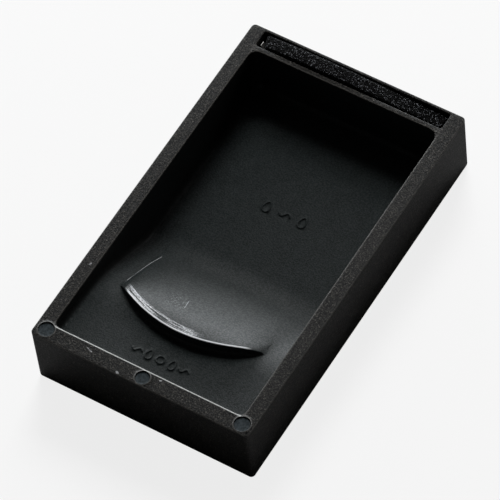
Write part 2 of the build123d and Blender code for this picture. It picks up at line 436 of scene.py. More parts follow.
def seaFloor(x, y):
    # the underside: a shallow grinding land, a bank and the deep sea
    y = np.asarray(y, float)
    depth, land, bankTop = underside["seaDepth"], underside["landDepth"], underside["bankTop"]
    angle, radius = math.radians(underside["bankAngle"]), underside["bankRadius"]
    foot = bankTop + (depth - land) / math.tan(angle)
    height = np.clip(depth - (y - bankTop) * math.tan(angle), land, depth)
    bend = radius * math.tan(angle / 2)
    low = (y < foot + bend) & (y > foot - bend * math.cos(angle))
    toe = land + radius - np.sqrt(np.maximum(radius ** 2 - (y - foot - bend) ** 2, 0))
    height = np.where(low, toe, height)
    high = (y > bankTop - bend) & (y < bankTop + bend * math.cos(angle))
    crown = depth - radius + np.sqrt(np.maximum(radius ** 2 - (y - bankTop + bend) ** 2, 0))
    return np.where(high, crown, height) + np.zeros(len(np.atleast_1d(x)))


def wellRows(shell, loop, outwards, mouthLevel, roundSize, draft, floorRadius, floorAt, down=True):
    # the rows of a recess from its rounded mouth to its floor; returns the mouth row and the floor row
    sign = -1 if down else 1
    rows = []

    def drawnIn(inset):
        return loop - outwards * np.reshape(inset, (-1, 1))

    for out, deep in roundSteps(roundSize, spacing["coarseTurn"]):
        rows.append(shell.row(drawnIn(-out), mouthLevel + sign * deep))
    wallDepth = np.abs(mouthLevel - floorAt(*drawnIn(floorRadius).T)) - floorRadius
    for share in spacing["wellShares"]:
        level = roundSize + (wallDepth - roundSize) * share
        rows.append(shell.row(drawnIn(level * slope(draft)), mouthLevel + sign * level))
    for lift, inset in roundSteps(floorRadius, spacing["fineTurn"][1:]):
        flat = drawnIn(wallDepth * slope(draft) + inset)
        rows.append(shell.row(flat, floorAt(*flat.T) - sign * lift))
    for one, other in zip(rows, rows[1:]):
        shell.bridge(*((one, other) if down else (other, one)))
    return rows[0], rows[-1]


def lipRows(shell):
    # rows along the lip: guards, crest round, wall, foot round, guards
    lipRadius = stone["lipRadius"]
    reach = math.degrees(math.asin((stone["tongueHalf"] - spacing["lipTip"]) / lipRadius))
    angles = np.radians(np.linspace(-reach, reach, spacing["lipColumns"]))
    direction = np.array([np.sin(angles), -np.cos(angles)])

    def at(radius):
        return direction * radius + np.array([[0.0], [lipCentre]])

    def tongueAt(spot):
        return pondLine(spot[1], tongueShare(*spot))

    high = tongueAt(at(lipRadius - spacing["crestBack"]))
    low = pondLine(at(lipRadius + spacing["footAhead"])[1], 0.0)
    rise = np.maximum(high - low, spacing["leastRise"])
    crest = np.minimum(stone["crestRound"], spacing["crestShare"] * rise)
    foot = np.minimum(stone["lipFootRound"], spacing["footShare"] * rise)
    rows = []
    for guard in spacing["crestGuards"]:
        spot = at(lipWall(high) - crest - guard)
        rows.append(shell.row(spot.T, tongueAt(spot)))
    for back, fall in roundSteps(crest, spacing["crestTurn"]):
        rows.append(shell.row(at(lipWall(high - fall) - back).T, high - fall))
    for share in spacing["lipShares"]:
        level = high - crest - (rise - crest - foot) * share
        rows.append(shell.row(at(lipWall(level)).T, level))
    for lift, ahead in roundSteps(foot, spacing["footTurn"]):
        spot = at(lipWall(high - rise + lift) + ahead)
        rows.append(shell.row(spot.T, pondLine(spot[1], 0.0) + lift))
    for guard in spacing["footGuards"]:
        spot = at(lipWall(high - rise) + foot + guard)
        rows.append(shell.row(spot.T, pondLine(spot[1], 0.0)))
    return rows


def flankRows(shell):
    # rows along the foot of the tongue's two sides, where they turn steep
    rows = []
    along = np.arange(spacing["flankFrom"], spacing["flankTo"], spacing["flankStep"])
    for side in (-1, 1):
        for offset in spacing["flankOffsets"]:
            x = np.full(len(along), side * (stone["tongueHalf"] + offset))
            rows.append(shell.row(np.stack([x, along], axis=1), pondLine(along, tongueShare(x, along))))
    return rows


def signPath(kind, size):
    # middle line of one raised sign, and whether it is closed
    turn = np.linspace(0, 2 * math.pi, signs["loopPoints"] + 1)[:-1]
    half = signs["halfWidthShare"] * size
    if kind == "drop":
        narrow = signs["dropNeckShare"] + (1 - signs["dropNeckShare"]) * np.sin(turn / 2) ** 2
        drop = [half * np.sin(turn) * narrow, signs["halfHeightShare"] * size * np.cos(turn)]
        return np.stack(drop, axis=1)[::-1], True
    if kind == "ring":
        return np.stack([half * np.cos(turn), half * np.sin(turn)], axis=1), True
    along = np.linspace(-0.5, 0.5, signs["wavePoints"])
    wave = [size * along, signs["waveShare"] * size * np.sin(2 * math.pi * along)]
    return np.stack(wave, axis=1), False


def signRings(shell, kind, size, centre):
    # a raised sign as nested rings: foot, shoulder and flat top on each side of its middle line
    path, closed = signPath(kind, size)
    ahead = np.roll(path, -1, axis=0) - np.roll(path, 1, axis=0) if closed else np.gradient(path, axis=0)
    ahead /= np.linalg.norm(ahead, axis=1)[:, None]
    side = np.stack([ahead[:, 1], -ahead[:, 0]], axis=1)
    cap = np.radians(signs["capTurn"])
    rings = []
    for share, level in signs["sectionShares"]:
        reach = signs["lineHalf"] * share
        loops = [path + side * reach, path - side * reach]
        if not closed:
            ends = []
            for end, way in ((path[-1], ahead[-1]), (path[0], -ahead[0])):
                across = np.array([way[1], -way[0]])
                ends.append([end + reach * (way * math.cos(a) - across * math.sin(a)) for a in cap])
            loops = [np.concatenate([loops[0], ends[0], loops[1][::-1], ends[1]])]
        for loop in loops:
            loop = loop + np.array(centre)
            rings.append(shell.row(loop, recessFloor(*loop.T) + signs["height"] * level))
    return rings


def signRow(shell, row):
    midX, midY = row["middle"]
    rings = []
    for index, kind in enumerate(row["kinds"]):
        centre = (midX + (index - (len(row["kinds"]) - 1) / 2) * row["pitch"], midY)
        rings += signRings(shell, kind, row["size"], centre)
    return rings


def gridSpots(shell, edge, xs, ys, heightAt, clear, avoid=None):
    # free points on a grid inside a row, kept clear of the row and of what avoid names
    x, y = [a.ravel() for a in np.meshgrid(xs, ys)]
    spots = np.stack([x, y], axis=1)
    loop = shell.flat(edge)
    keep = Shell.inside(spots, loop) & ~crowded(x, y, loop, clear)
    if avoid is not None:
        keep &= ~avoid(x, y)
    spots = spots[keep]
    return shell.row(spots, heightAt(*spots.T))


def sideWalls(shell):
    # from the flat of the foot up to the flat of the rim; returns both rows
    corner = stone["cornerRadius"]
    outline, out = roundedLoop(halfWidth, -halfLength, halfLength, corner, corner, spacing["step"])
    rows = []
    for inset, lift in roundSteps(stone["footRound"], spacing["coarseTurn"]):
        rows.append(shell.row(outline - out * inset, lift))
    for level in np.linspace(spacing["sideFrom"], top - spacing["sideTo"], spacing["sideRows"]):
        rows.append(shell.row(outline, level))
    for deep, inset in roundSteps(stone["rimRound"], spacing["fineTurn"]):
        rows.append(shell.row(outline - out * inset, top - deep))
    for lower, upper in zip(rows, rows[1:]):
        shell.bridge(lower, upper)
    return rows[0], rows[-1]


def inkRecess(shell):
    # the liquid-ink face, with its lip and its raised signs; returns the row of its mouth
    loop, outwards = roundedLoop(pondHalf, pondNear, pondFar, stone["pondNearRadius"], stone["pondFarRadius"],
                                 spacing["step"])
    mouth, floorRow = wellRows(shell, loop, outwards, top, stone["mouthRound"], stone["pondDraft"],
                               stone["floorRound"], recessFloor)
    lines = lipRows(shell) + flankRows(shell)
    rings = signRow(shell, signs["pond"]) + signRow(shell, signs["shelf"])
    signSpots = np.concatenate([shell.flat(ring) for ring in rings])
    lipNear, lipFar = [stone["lipRadius"] + clear for clear in spacing["lipClear"]]
    flankNear, flankFar = spacing["flankClear"]
    reachNear, reachFar = spacing["flankReach"]

    def taken(x, y):
        away = np.hypot(x, y - lipCentre)
        across = np.abs(x) - stone["tongueHalf"]
        onLip = (away > lipNear) & (away < lipFar) & (y < lipCentre) & (across < spacing["tipClear"])
        onFlank = (across > flankNear) & (across < flankFar) & (y > reachNear) & (y < reachFar)
        return onLip | onFlank | crowded(x, y, signSpots, spacing["signClear"])

    rampNear, rampFar = spacing["rampNear"], spacing["rampFar"]
    inset = spacing["wellInset"]
    xs = np.arange(-pondHalf + inset, pondHalf, spacing["shelfGrid"])
    ys = np.concatenate([np.arange(pondNear + inset, rampNear, spacing["shelfGrid"]),
                         np.arange(rampNear, rampFar, spacing["rampGrid"]),
                         np.arange(rampFar, pondFar, spacing["pondGrid"])])
    spots = gridSpots(shell, floorRow, xs, ys, recessFloor, spacing["rowClear"], taken)
    shell.fill(floorRow, rings=rings, lines=lines, spots=spots)
    return mouth


def slotRecess(shell):
    # the slot for the anti-slip strip; returns the row of its mouth
    loop, out = roundedLoop(pondHalf, slotNear, slotFar, stone["slotRadius"], stone["slotRadius"],
                            spacing["step"], spacing["slotTurns"])
    level = top - stone["slotDepth"]
    mouth, floorRow = wellRows(shell, loop, out, top, stone["slotRound"], stone["slotDraft"],
                               stone["slotFloorRound"], lambda x, y: np.full(len(x), level))
    shell.fill(floorRow)
    return mouth


def pinMarks(shell):
    # a fine burr ring, a step down and a flat disc at each mark; returns the rings and the middle points
    rings, spots = [], []
    around = np.radians(np.arange(0, 360, spacing["markTurn"]))
    circle = np.stack([np.cos(around), np.sin(around)], axis=1)
    for x, y, radius in stone["marks"]:
        for extra, level in stone["markSection"]:
            rings.append(shell.row(circle * (radius + extra) + np.array([x, y]), top + level))
        spots += shell.row(np.array([[x, y]]), top + stone["markSection"][-1][1])
    return rings, spots


def rimFace(shell, rimRow, mouths):
    # the flat rim round the two mouths, with the pin marks let into it
    rings, markSpots = pinMarks(shell)
    edges = [shell.flat(mouth) for mouth in mouths]

    def taken(x, y):
        result = np.zeros(len(x), bool)
        for markX, markY, radius in stone["marks"]:
            result |= crowded(x, y, [(markX, markY)], radius + spacing["markClear"])
        for edge in edges:
            result |= Shell.inside(np.stack([x, y], axis=1), edge) | crowded(x, y, edge, spacing["rowClear"])
        return result

    inset, grid = spacing["rimInset"], spacing["rimGrid"]
    xs = np.arange(-halfWidth + inset, halfWidth, grid)
    ys = np.arange(-halfLength + inset, halfLength, grid)
    spots = gridSpots(shell, rimRow, xs, ys, lambda x, y: np.full(len(x), top), spacing["rowClear"], taken)
    shell.fill(rimRow, holes=mouths, rings=rings, spots=spots + markSpots)


def seaRecess(shell):
    # the solid-ink face underneath; returns the row of its mouth
    corner = underside["corner"]
    loop, out = roundedLoop(seaHalf, -seaEnd, seaEnd, corner, corner, spacing["seaStep"])
    mouth, floorRow = wellRows(shell, loop, out, 0.0, underside["mouthRound"], underside["draft"],
                               underside["floorRound"], seaFloor, down=False)
    bankNear, bankFar, grid = spacing["bankNear"], spacing["bankFar"], spacing["seaGrid"]
    xs = np.arange(-seaHalf + spacing["seaInset"], seaHalf, grid)
    ys = np.concatenate([np.arange(-seaEnd, bankNear, grid),
                         np.arange(bankNear, bankFar, spacing["bankGrid"]),
                         np.arange(bankFar, seaEnd, grid)])
    spots = gridSpots(shell, floorRow, xs, ys, seaFloor, spacing["seaClear"])
    shell.fill(floorRow, spots=spots, upwards=False)
    return mouth


def stoneMesh(material):
    shell = Shell()
    footRow, rimRow = sideWalls(shell)
    mouths = [inkRecess(shell), slotRecess(shell)]
    rimFace(shell, rimRow, mouths)
    shell.fill(footRow, holes=[seaRecess(shell)], upwards=False)
    return shell.build("stone", material)


# the stone's finish: places, widths and depths in millimetres, and fades as the values that they run between
resin = {
    # noises: scale, detail and roughness
    "fine": (2.1, 3.0, 0.65), "mottle": (1.6, 3.0, 0.75), "coarse": (0.9, 3.0, 0.6), "broad": (0.3, 4.0, 0.6),
    # masks of the recesses; a name that starts with under gives depths below the rim
    "edgeSoft": 0.1, "cornerShadeFade": (2.2, 0.7), "seaRoof": (1.0, 0.5), "seaMouth": (0.05, 0.4),
    "underMouth": (0.1, 0.6), "underEdgeHighlight": (0.7, 0.4), "underNearHighlight": (0.32, 0.16),
    "underScuff": (6.0, 4.5), "underScratch": (8.4, 6.4), "underRub": (9.4, 8.4),
    "underPin": (0.1, 0.3), "underPinFloor": (2.0, 1.5), "underBurr": (0.3, 0.1),
    # painted highlights on the rounded edges: how far the middle of a band is from its line, half its width,
    # and where it ends
    "mouthBand": (0.15, 0.4), "mouthEnd": 0.5, "outsideBand": 0.4, "nearBand": (0.2, 0.34),
    "crestHighlightBand": (0.34, 0.4), "crestSide": (0.3, 0.6), "crestFoot": 1.8, "lipSide": (-25, -28),
    # brush scuffs: where they run along the lip, how far behind it, and their streaks, whose pale colour is
    # partly wear and partly painted highlight
    "scuffLeft": (-23.5, -21.5), "scuffRight": (8.5, 4.5), "scuffBack": (3.1, 2.3), "scuffLip": (0.0, 0.3),
    "streak": (1.0, 2.0, 0.6), "streakStretch": (0.09, 2.3), "streakCut": (0.46, 0.53),
    "scuffPatch": (0.42, 0.58), "scuffShares": (0.35, 0.9),
    # scratches and a rubbed patch: pale marks, partly wear and partly painted highlight
    "scratches": [((-4.6, -29.6), (-3.7, -33.0), 0.16), ((-20.07, -61.3), (-18.25, -61.93), 0.22),
                  ((-7.9, -64.3), (-7.4, -64.5), 0.5), ((5.2, -60.7), (5.6, -60.5), 0.3),
                  ((-35.5, -35.8), (-35.2, -35.2), 0.3)],
    "scratchGrain": (0.3, 0.6), "scratchShare": 0.6,
    "rub": (-7.0, -31.5, 5.0), "rubCore": 0.3, "rubGrain": (0.55, 0.62), "rubShare": 0.17,
    # the mould's witness line, painted as a highlight along the tongue's left crease, and the slanting plane
    # that it fades at
    "witness": [(-23.9, -15.5), (-24.7, -20.8), (-25.1, -27.7), (-25.4, -31.5)], "witnessWidth": 0.16,
    "witnessSlant": 0.6, "witnessEnd": (-3.3, -2.8), "witnessLeast": 0.5,
    "pinSoft": (0.05, 0.25), "burrBand": (0.16, 0.3),
    # colours, and the share of each over what lies under it
    "dark": (0.002, 0.002, 0.002), "pale": (0.034, 0.032, 0.029), "flecks": (0.46, 0.56),
    "glint": (0.15, 0.14, 0.125), "glints": (0.60, 0.67), "glintPatch": (0.42, 0.55),
    "pondDark": (0.0105, 0.0135, 0.0135), "pondPale": (0.029, 0.034, 0.0345),
    "clouds": {"broad": (0.3, 0.7, 0.3), "mottle": (0.4, 0.6, 0.35), "fine": (0.42, 0.58, 0.35)},
    # corner: painted shade, darker near the pond's side walls
    "corner": (0.007, 0.008, 0.008), "cornerShadeShare": 0.7,
    "pinDark": (0.024, 0.032, 0.036), "pinPale": (0.056, 0.070, 0.079), "pinPatch": (0.4, 0.6),
    "pinShare": 0.9,
    # burr: painted highlight on the pin marks' burr rings
    "burr": (0.15, 0.15, 0.145), "burrHighlightShare": 0.6,
    # edge: painted highlight along the rounded edges of the mouths and the rim's outside
    "edge": (0.15, 0.145, 0.135), "edgeHighlightShares": (0.1, 0.5),
    # nearEdgeHighlight: painted highlight along the near mouth's rounded edge
    "nearEdgeHighlight": (0.50, 0.51, 0.50), "nearHighlightShares": (0.6, 0.6),
    # crest: painted highlight along the lip's crest, brighter towards its left
    "crest": (0.86, 0.88, 0.90), "crestHighlightShares": (0.75, 0.25), "crestHighlightFade": (24, -2),
    # wearAndHighlight: scuffs, scratches and the rubbed patch are partly wear, partly painted highlight
    "wearAndHighlight": (0.80, 0.82, 0.85), "wearAndHighlightShare": 0.85, "witnessHighlightShare": 0.5,
    # roughness and what adds to it, the grain's relief, and the grain in the sheen
    "rough": 0.56, "roughShares": {"pond": -0.01, "fine": 0.3, "mottle": 0.45, "edges": -0.12, "crest": -0.22,
                                   "pins": -0.06, "scuffs": -0.18, "corner": 0.3},
    "relief": {"coarse": 0.5, "pondFlat": 0.75, "pinFlat": 0.6, "pondMottle": 0.7, "pondFine": 0.6,
               "witness": 0.4, "scuffs": 0.3},
    "bumpStrength": 0.8, "bumpDepth": 0.16, "index": 1.5,
    "grit": {"fine": (0.48, 0.54, 0.25), "mottle": (0.49, 0.54, 0.75)}, "sheen": 0.72, "sheenRough": 0.42,
}


def stoneFinish():
    f = Finish("darkResin")
    spot = f.place()
    x, y, z = f.split(spot)
    grains = {name: f.grain(spot, *resin[name]) for name in ("fine", "mottle", "coarse", "broad")}
    fine, mottle, coarse = grains["fine"], grains["mottle"], grains["coarse"]
    across = abs(x)
    soft = resin["edgeSoft"]

    def within(value, edge):
        # 1 short of an edge, 0 beyond it
        return value.fade(edge + soft, edge - soft)

    def under(name):
        # rises between two depths below the rim
        start, full = resin[name]
        return z.fade(top - start, top - full)

    def speckled(name):
        # a weighted sum of faded noises
        return sum(grains[grain].fade(low, high) * share for grain, (low, high, share) in resin[name].items())

    beside = within(across, pondHalf)
    between = y.fade(pondNear - soft, pondNear + soft) * within(y, pondFar)
    seaRoof = [underside["seaDepth"] + above for above in resin["seaRoof"]]
    below = within(across, seaHalf) * within(abs(y), seaEnd) * z.fade(*seaRoof) * z.fade(*resin["seaMouth"])
    inPond = (beside * between * under("underMouth")).most(below)
    # painted shade: the pond's floor darkens near its side walls
    corner = across.fade(*[pondHalf - inset for inset in resin["cornerShadeFade"]]) * inPond

    # painted highlights on the rounded edges: the mouth, the rim's outside, the near mouth and the crest of
    # the lip
    (beyond, half), end = resin["mouthBand"], resin["mouthEnd"]
    mouth = across.band(pondHalf + beyond, half)
    mouth = mouth * y.fade(pondNear - end, pondNear) * y.fade(pondFar + end, pondFar)
    mouth = mouth.most(y.band(pondNear - beyond, half).most(y.band(pondFar + beyond, half)) * beside)
    outside = across.band(halfWidth, resin["outsideBand"]).most(abs(y).band(halfLength, resin["outsideBand"]))
    edges = mouth.most(outside) * under("underEdgeHighlight")
    beyond, half = resin["nearBand"]
    nearHighlight = y.band(pondNear - beyond, half) * beside * under("underNearHighlight")
    radius = planDistance(x, y, 0, lipCentre)
    lipRadius, tongueHalf = stone["lipRadius"], stone["tongueHalf"]
    lipSide = y.fade(*resin["lipSide"])
    behind, half = resin["crestHighlightBand"]
    beyond, inset = resin["crestSide"]
    onTongue = across.fade(tongueHalf + beyond, tongueHalf - inset)
    onTongue = onTongue * z.fade(top - stone["shelfDepth"], top - stone["crestDepth"] - resin["crestFoot"])
    crest = radius.band(lipRadius - behind, half) * onTongue * lipSide

    # brush scuffs along the lip, on its left half; their pale colour is partly wear, partly painted highlight
    stretchX, stretchRadius = resin["streakStretch"]
    streakSpot = f.add("ShaderNodeCombineXYZ", None, {"X": x * stretchX, "Y": radius * stretchRadius})
    scuffs = f.grain(streakSpot, *resin["streak"]).fade(*resin["streakCut"])
    scuffs = scuffs * x.fade(*resin["scuffLeft"]) * x.fade(*resin["scuffRight"])
    for name in ("scuffBack", "scuffLip"):
        scuffs = scuffs * radius.fade(*[lipRadius - back for back in resin[name]])
    least, more = resin["scuffShares"]
    patches = (least + more * mottle.fade(*resin["scuffPatch"])).least(1)
    scuffs = scuffs * lipSide * under("underScuff") * patches

    # scratches and a rubbed patch, partly wear and partly painted highlight, and the witness line, a painted
    # highlight
    marks = scuffs
    scratched = under("underScratch") * fine.fade(*resin["scratchGrain"]) * resin["scratchShare"]
    for start, end, width in resin["scratches"]:
        marks = marks.most(f.stroke(x, y, start, end, width) * scratched)
    rubX, rubY, rubSize = resin["rub"]
    rubbed = planDistance(x, y, rubX, rubY).fade(rubSize, rubSize * resin["rubCore"])
    marks = marks.most(rubbed * mottle.fade(*resin["rubGrain"]) * under("underRub") * resin["rubShare"])
    witness = 0.0
    for start, end in zip(resin["witness"], resin["witness"][1:]):
        witness = f.stroke(x, y, start, end, resin["witnessWidth"]).most(witness)
    witness = witness * (z + y * resin["witnessSlant"]).fade(*resin["witnessEnd"])
    witness = witness * (resin["witnessLeast"] + fine)

    # smooth floors of the pin marks, and their burr rings with a painted highlight
    pins, burrHighlights = 0.0, 0.0
    for midX, midY, size in stone["marks"]:
        away = planDistance(x, y, midX, midY)
        pins = away.fade(*[size - inset for inset in resin["pinSoft"]]).most(pins)
        beyond, half = resin["burrBand"]
        burrHighlights = away.band(size + beyond, half).most(burrHighlights)
    pins = pins * under("underPin") * under("underPinFloor")
    burrHighlights = burrHighlights * under("underBurr")

    base = f.blend(fine.fade(*resin["flecks"]), resin["dark"], resin["pale"])
    base = f.blend(fine.fade(*resin["glints"]) * coarse.fade(*resin["glintPatch"]), base, resin["glint"])
    pond = f.blend(speckled("clouds"), resin["pondDark"], resin["pondPale"])
    # painted shade near the pond's side walls
    pond = f.blend(corner * resin["cornerShadeShare"], pond, resin["corner"])
    pinFloor = f.blend(mottle.fade(*resin["pinPatch"]), resin["pinDark"], resin["pinPale"])
    colour = f.blend(inPond, base, pond)
    colour = f.blend(pins * resin["pinShare"], colour, pinFloor)
    # painted highlight on the pin marks' burr rings
    colour = f.blend(burrHighlights * resin["burrHighlightShare"], colour, resin["burr"])
    # painted highlight along the rounded edges
    least, more = resin["edgeHighlightShares"]
    colour = f.blend(edges * (least + more * fine), colour, resin["edge"])
    # painted highlight along the near mouth's edge
    least, more = resin["nearHighlightShares"]
    colour = f.blend((nearHighlight * (least + more * coarse)).least(1), colour, resin["nearEdgeHighlight"])
    # painted highlight along the lip's crest, brighter towards its left
    least, more = resin["crestHighlightShares"]
    colour = f.blend(crest * (least + more * x.fade(*resin["crestHighlightFade"])), colour, resin["crest"])
    # scuffs, scratches and the rubbed patch: partly wear, partly painted highlight; the witness line: painted
    # highlight
    marks = marks.most(witness * resin["witnessHighlightShare"]) * resin["wearAndHighlightShare"]
    colour = f.blend(marks, colour, resin["wearAndHighlight"])

    # the noises lie about 0.5
    masks = {"pond": inPond, "fine": fine - 0.5, "mottle": mottle - 0.5, "edges": edges, "crest": crest,
             "pins": pins, "scuffs": scuffs, "corner": corner}
    rough = resin["rough"]
    for name, share in resin["roughShares"].items():
        rough = masks[name] * share + rough
    relief = resin["relief"]
    outer = (1 - relief["pondFlat"] * inPond) * (1 - relief["pinFlat"] * pins)
    height = (fine + coarse * relief["coarse"]) * outer
    height = height + (relief["pondMottle"] * mottle + relief["pondFine"] * fine) * inPond
    height = height + relief["witness"] * witness + relief["scuffs"] * scuffs
    bump = f.bump(resin["bumpStrength"], resin["bumpDepth"], height)
    grit = speckled("grit") * inPond * (1 - corner)
    return f.coat({"Base Color": colour, "Roughness": rough, "Normal": bump, "IOR": resin["index"],
                   "Coat Weight": grit * resin["sheen"], "Coat Roughness": resin["sheenRough"]})


stonePiece = stoneMesh(stoneFinish())
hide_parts("stone_body")
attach(stonePiece, "root")
print("stone made:", len(stonePiece.data.polygons), "faces")


# the strip in millimetres; its crumbs in metres, per square metre and in radians, as their tree takes them
strip = {
    "left": -32.6, "right": 33.15, "near": 58.4, "far": 63.8, "base": 20.4,
    "endSlant": 1.7, "slantFrom": -20, "slantRun": 12,
    "crownAt": [0.0, 0.14, 0.36, 0.62, 0.86, 1.0], "crown": [0.1, 0.75, 1.0, 0.45, -0.55, -0.9],
    "knots": 41, "softKnots": 3,
    # the bar is smaller by margin all round, so that its crumbs stay in the strip's outline
    "margin": 0.26, "corner": 1.2, "edgeRound": 0.5, "step": 0.6, "turns": 5,
    "footInset": 0.25, "wallInset": 0.05, "footHeight": 0.3, "wallShares": [0.25, 0.5, 0.75, 1.0],
    "edgeTurn": [30, 60, 90], "wallRagged": 0.1, "wallSeed": 3.0, "wallStretch": 4,
    "raggedScale": 1.3, "crownRagged": 0.16, "crownSeed": 9.0,
    "grid": 0.55, "gridInset": 0.9, "gridClear": 0.4,
    "grainsPerArea": 6.5e6, "grainSize": 0.19 * mm, "grainSeed": 7, "grainsAbove": 22.2 * mm,
    "grainLeast": 0.45, "grainMost": 1.1, "grainTurn": 6.28,
    # the foam's finish: noise as scale, detail and roughness
    "fine": (4.0, 3.0, 0.7), "fineFade": (0.35, 0.7),
    "dark": (0.001, 0.001, 0.001), "pale": (0.007, 0.007, 0.0075),
    "cells": 4.2, "glintCells": (0.91, 0.94), "glintGrain": (0.42, 0.52), "glint": (0.25, 0.26, 0.28),
    "rough": 0.80, "cellRough": 0.1, "grainRough": 0.2, "bumpStrength": 0.6, "bumpDepth": 0.1, "gloss": 0.25,
}


def stripTop(x):
    # the strip's top rises and falls along it
    soft = strip["softKnots"]
    width = 2 * soft + 1
    places = np.linspace(0, 1, strip["knots"])
    knots = np.interp(places, strip["crownAt"], strip["crown"])
    smooth = np.convolve(np.pad(knots, soft, mode="edge"), np.ones(width) / width, mode="valid")
    share = (np.asarray(x, float) - strip["left"]) / (strip["right"] - strip["left"])
    return top + np.interp(share, places, smooth) - strip["margin"]


def stripBar(material):
    shell = Shell()
    margin, edgeRound = strip["margin"], strip["edgeRound"]
    wallInset, corner = strip["wallInset"], strip["corner"]
    middle = np.array([(strip["left"] + strip["right"]) / 2, 0.0])
    half = (strip["right"] - strip["left"]) / 2 - margin
    loop, out = roundedLoop(half, strip["near"] + margin, strip["far"] - margin, corner, corner,
                            strip["step"], strip["turns"])

    def placed(flat):
        # moves the loop to its place and cuts the left end on a slant
        flat = flat + middle
        endShare = np.clip((strip["slantFrom"] - flat[:, 0]) / strip["slantRun"], 0, 1)
        shift = strip["endSlant"] * (strip["far"] - flat[:, 1]) / (strip["far"] - strip["near"])
        flat[:, 0] += shift * endShare
        return flat

    def ragged(flat, level):
        scale = strip["raggedScale"]
        return np.array([noise.noise(Vector((x * scale, y * scale, level))) for x, y in flat])

    def crown(x, y):
        # goes on from the last row of the edge's round
        return stripTop(x) + strip["crownRagged"] * ragged(np.stack([x, y], axis=1), 1.0 + strip["crownSeed"])

    wall = placed(loop)
    foot = strip["base"] + strip["footHeight"]
    rise = stripTop(wall[:, 0]) - edgeRound - strip["base"] - strip["footHeight"]
    rows = [shell.row(placed(loop - out * strip["footInset"]), strip["base"]),
            shell.row(placed(loop - out * wallInset), foot)]
    for share in strip["wallShares"]:
        bumps = ragged(wall, share * strip["wallStretch"] + strip["wallSeed"])
        inset = wallInset + strip["wallRagged"] * (1 + bumps)
        rows.append(shell.row(placed(loop - out * inset[:, None]), foot + rise * share))
    for angle in np.radians(strip["edgeTurn"]):
        inset = wallInset + strip["wallRagged"] + edgeRound * (1 - math.cos(angle))
        flat = placed(loop - out * inset)
        bumps = strip["crownRagged"] * ragged(flat, math.sin(angle) + strip["crownSeed"]) * math.sin(angle)
        rows.append(shell.row(flat, stripTop(flat[:, 0]) - edgeRound * (1 - math.sin(angle)) + bumps))
    for lower, upper in zip(rows, rows[1:]):
        shell.bridge(lower, upper)
    xs = np.arange(strip["left"], strip["right"], strip["grid"])
    ys = np.arange(strip["near"] + strip["gridInset"], strip["far"], strip["grid"])
    shell.fill(rows[-1], spots=gridSpots(shell, rows[-1], xs, ys, crown, strip["gridClear"]))
    shell.fill(rows[0], upwards=False)
    return shell.build("gripStrip", material)


def foamGrains():
    # rubber crumbs strewn over the upper part of the bar
    g = Recipe("foamGrain", {"Geometry": "Geometry", "Density": "Float", "Grain Size": "Float",
                             "Above": "Float", "Seed": "Int", "Material": "Material"})
    bar = g.given("Geometry")
    place = g.add("GeometryNodeInputPosition")
    level = g.add("ShaderNodeSeparateXYZ", None, {0: place}, out="Z")
    upper = level.math("GREATER_THAN", g.given("Above"))
    points = g.add("GeometryNodeDistributePointsOnFaces", {"distribute_method": "RANDOM"},
                   {"Mesh": bar, "Selection": upper, "Density": g.given("Density"), "Seed": g.given("Seed")})
    crumb = g.add("GeometryNodeMeshIcoSphere", None, {"Radius": g.given("Grain Size"), "Subdivisions": 1})
    turn = g.add("FunctionNodeRandomValue", {"data_type": "FLOAT_VECTOR"},
                 {0: (0, 0, 0), 1: (strip["grainTurn"],) * 3, "Seed": g.given("Seed")})
    size = g.add("FunctionNodeRandomValue", {"data_type": "FLOAT_VECTOR"},
                 {0: (strip["grainLeast"],) * 3, 1: (strip["grainMost"],) * 3, "Seed": g.given("Seed") + 1})
    strewn = g.add("GeometryNodeInstanceOnPoints", None,
                   {"Points": points, "Instance": crumb, "Rotation": turn, "Scale": size})
    whole = g.add("GeometryNodeJoinGeometry")
    for part in (g.add("GeometryNodeRealizeInstances", None, {"Geometry": strewn}), bar):
        g.tree.links.new(part.socket, whole.socket.node.inputs["Geometry"])
    coated = g.add("GeometryNodeSetMaterial", None, {"Geometry": whole, "Material": g.given("Material")})
    g.add("NodeGroupOutput", None, {"Geometry": coated})
    return g


def foamFinish():
    f = Finish("blackFoam")
    spot = f.place()
    cells = f.add("ShaderNodeTexVoronoi", None, {"Vector": spot, "Scale": strip["cells"]}, out="Color")
    pick = f.add("ShaderNodeSeparateColor", None, {"Color": cells}, out="Red")
    fine = f.grain(spot, *strip["fine"])
    colour = f.blend(fine.fade(*strip["fineFade"]), strip["dark"], strip["pale"])
    glints = pick.fade(*strip["glintCells"]) * fine.fade(*strip["glintGrain"])
    colour = f.blend(glints, colour, strip["glint"])
    rough = strip["rough"] - strip["cellRough"] * pick + strip["grainRough"] * (fine - 0.5)
    bump = f.bump(strip["bumpStrength"], strip["bumpDepth"], fine)
    return f.coat({"Base Color": colour, "Roughness": rough, "Normal": bump,
                   "Specular IOR Level": strip["gloss"]})


foam = foamFinish()
stripPiece = stripBar(foam)
foamGrains().cook(stripPiece, {
    "Density": strip["grainsPerArea"], "Grain Size": strip["grainSize"], "Above": strip["grainsAbove"],
    "Seed": strip["grainSeed"], "Material": foam})
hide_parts("anti_slip_strip")
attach(stripPiece, "root")
print("strip made:", len(stripPiece.data.polygons), "faces")


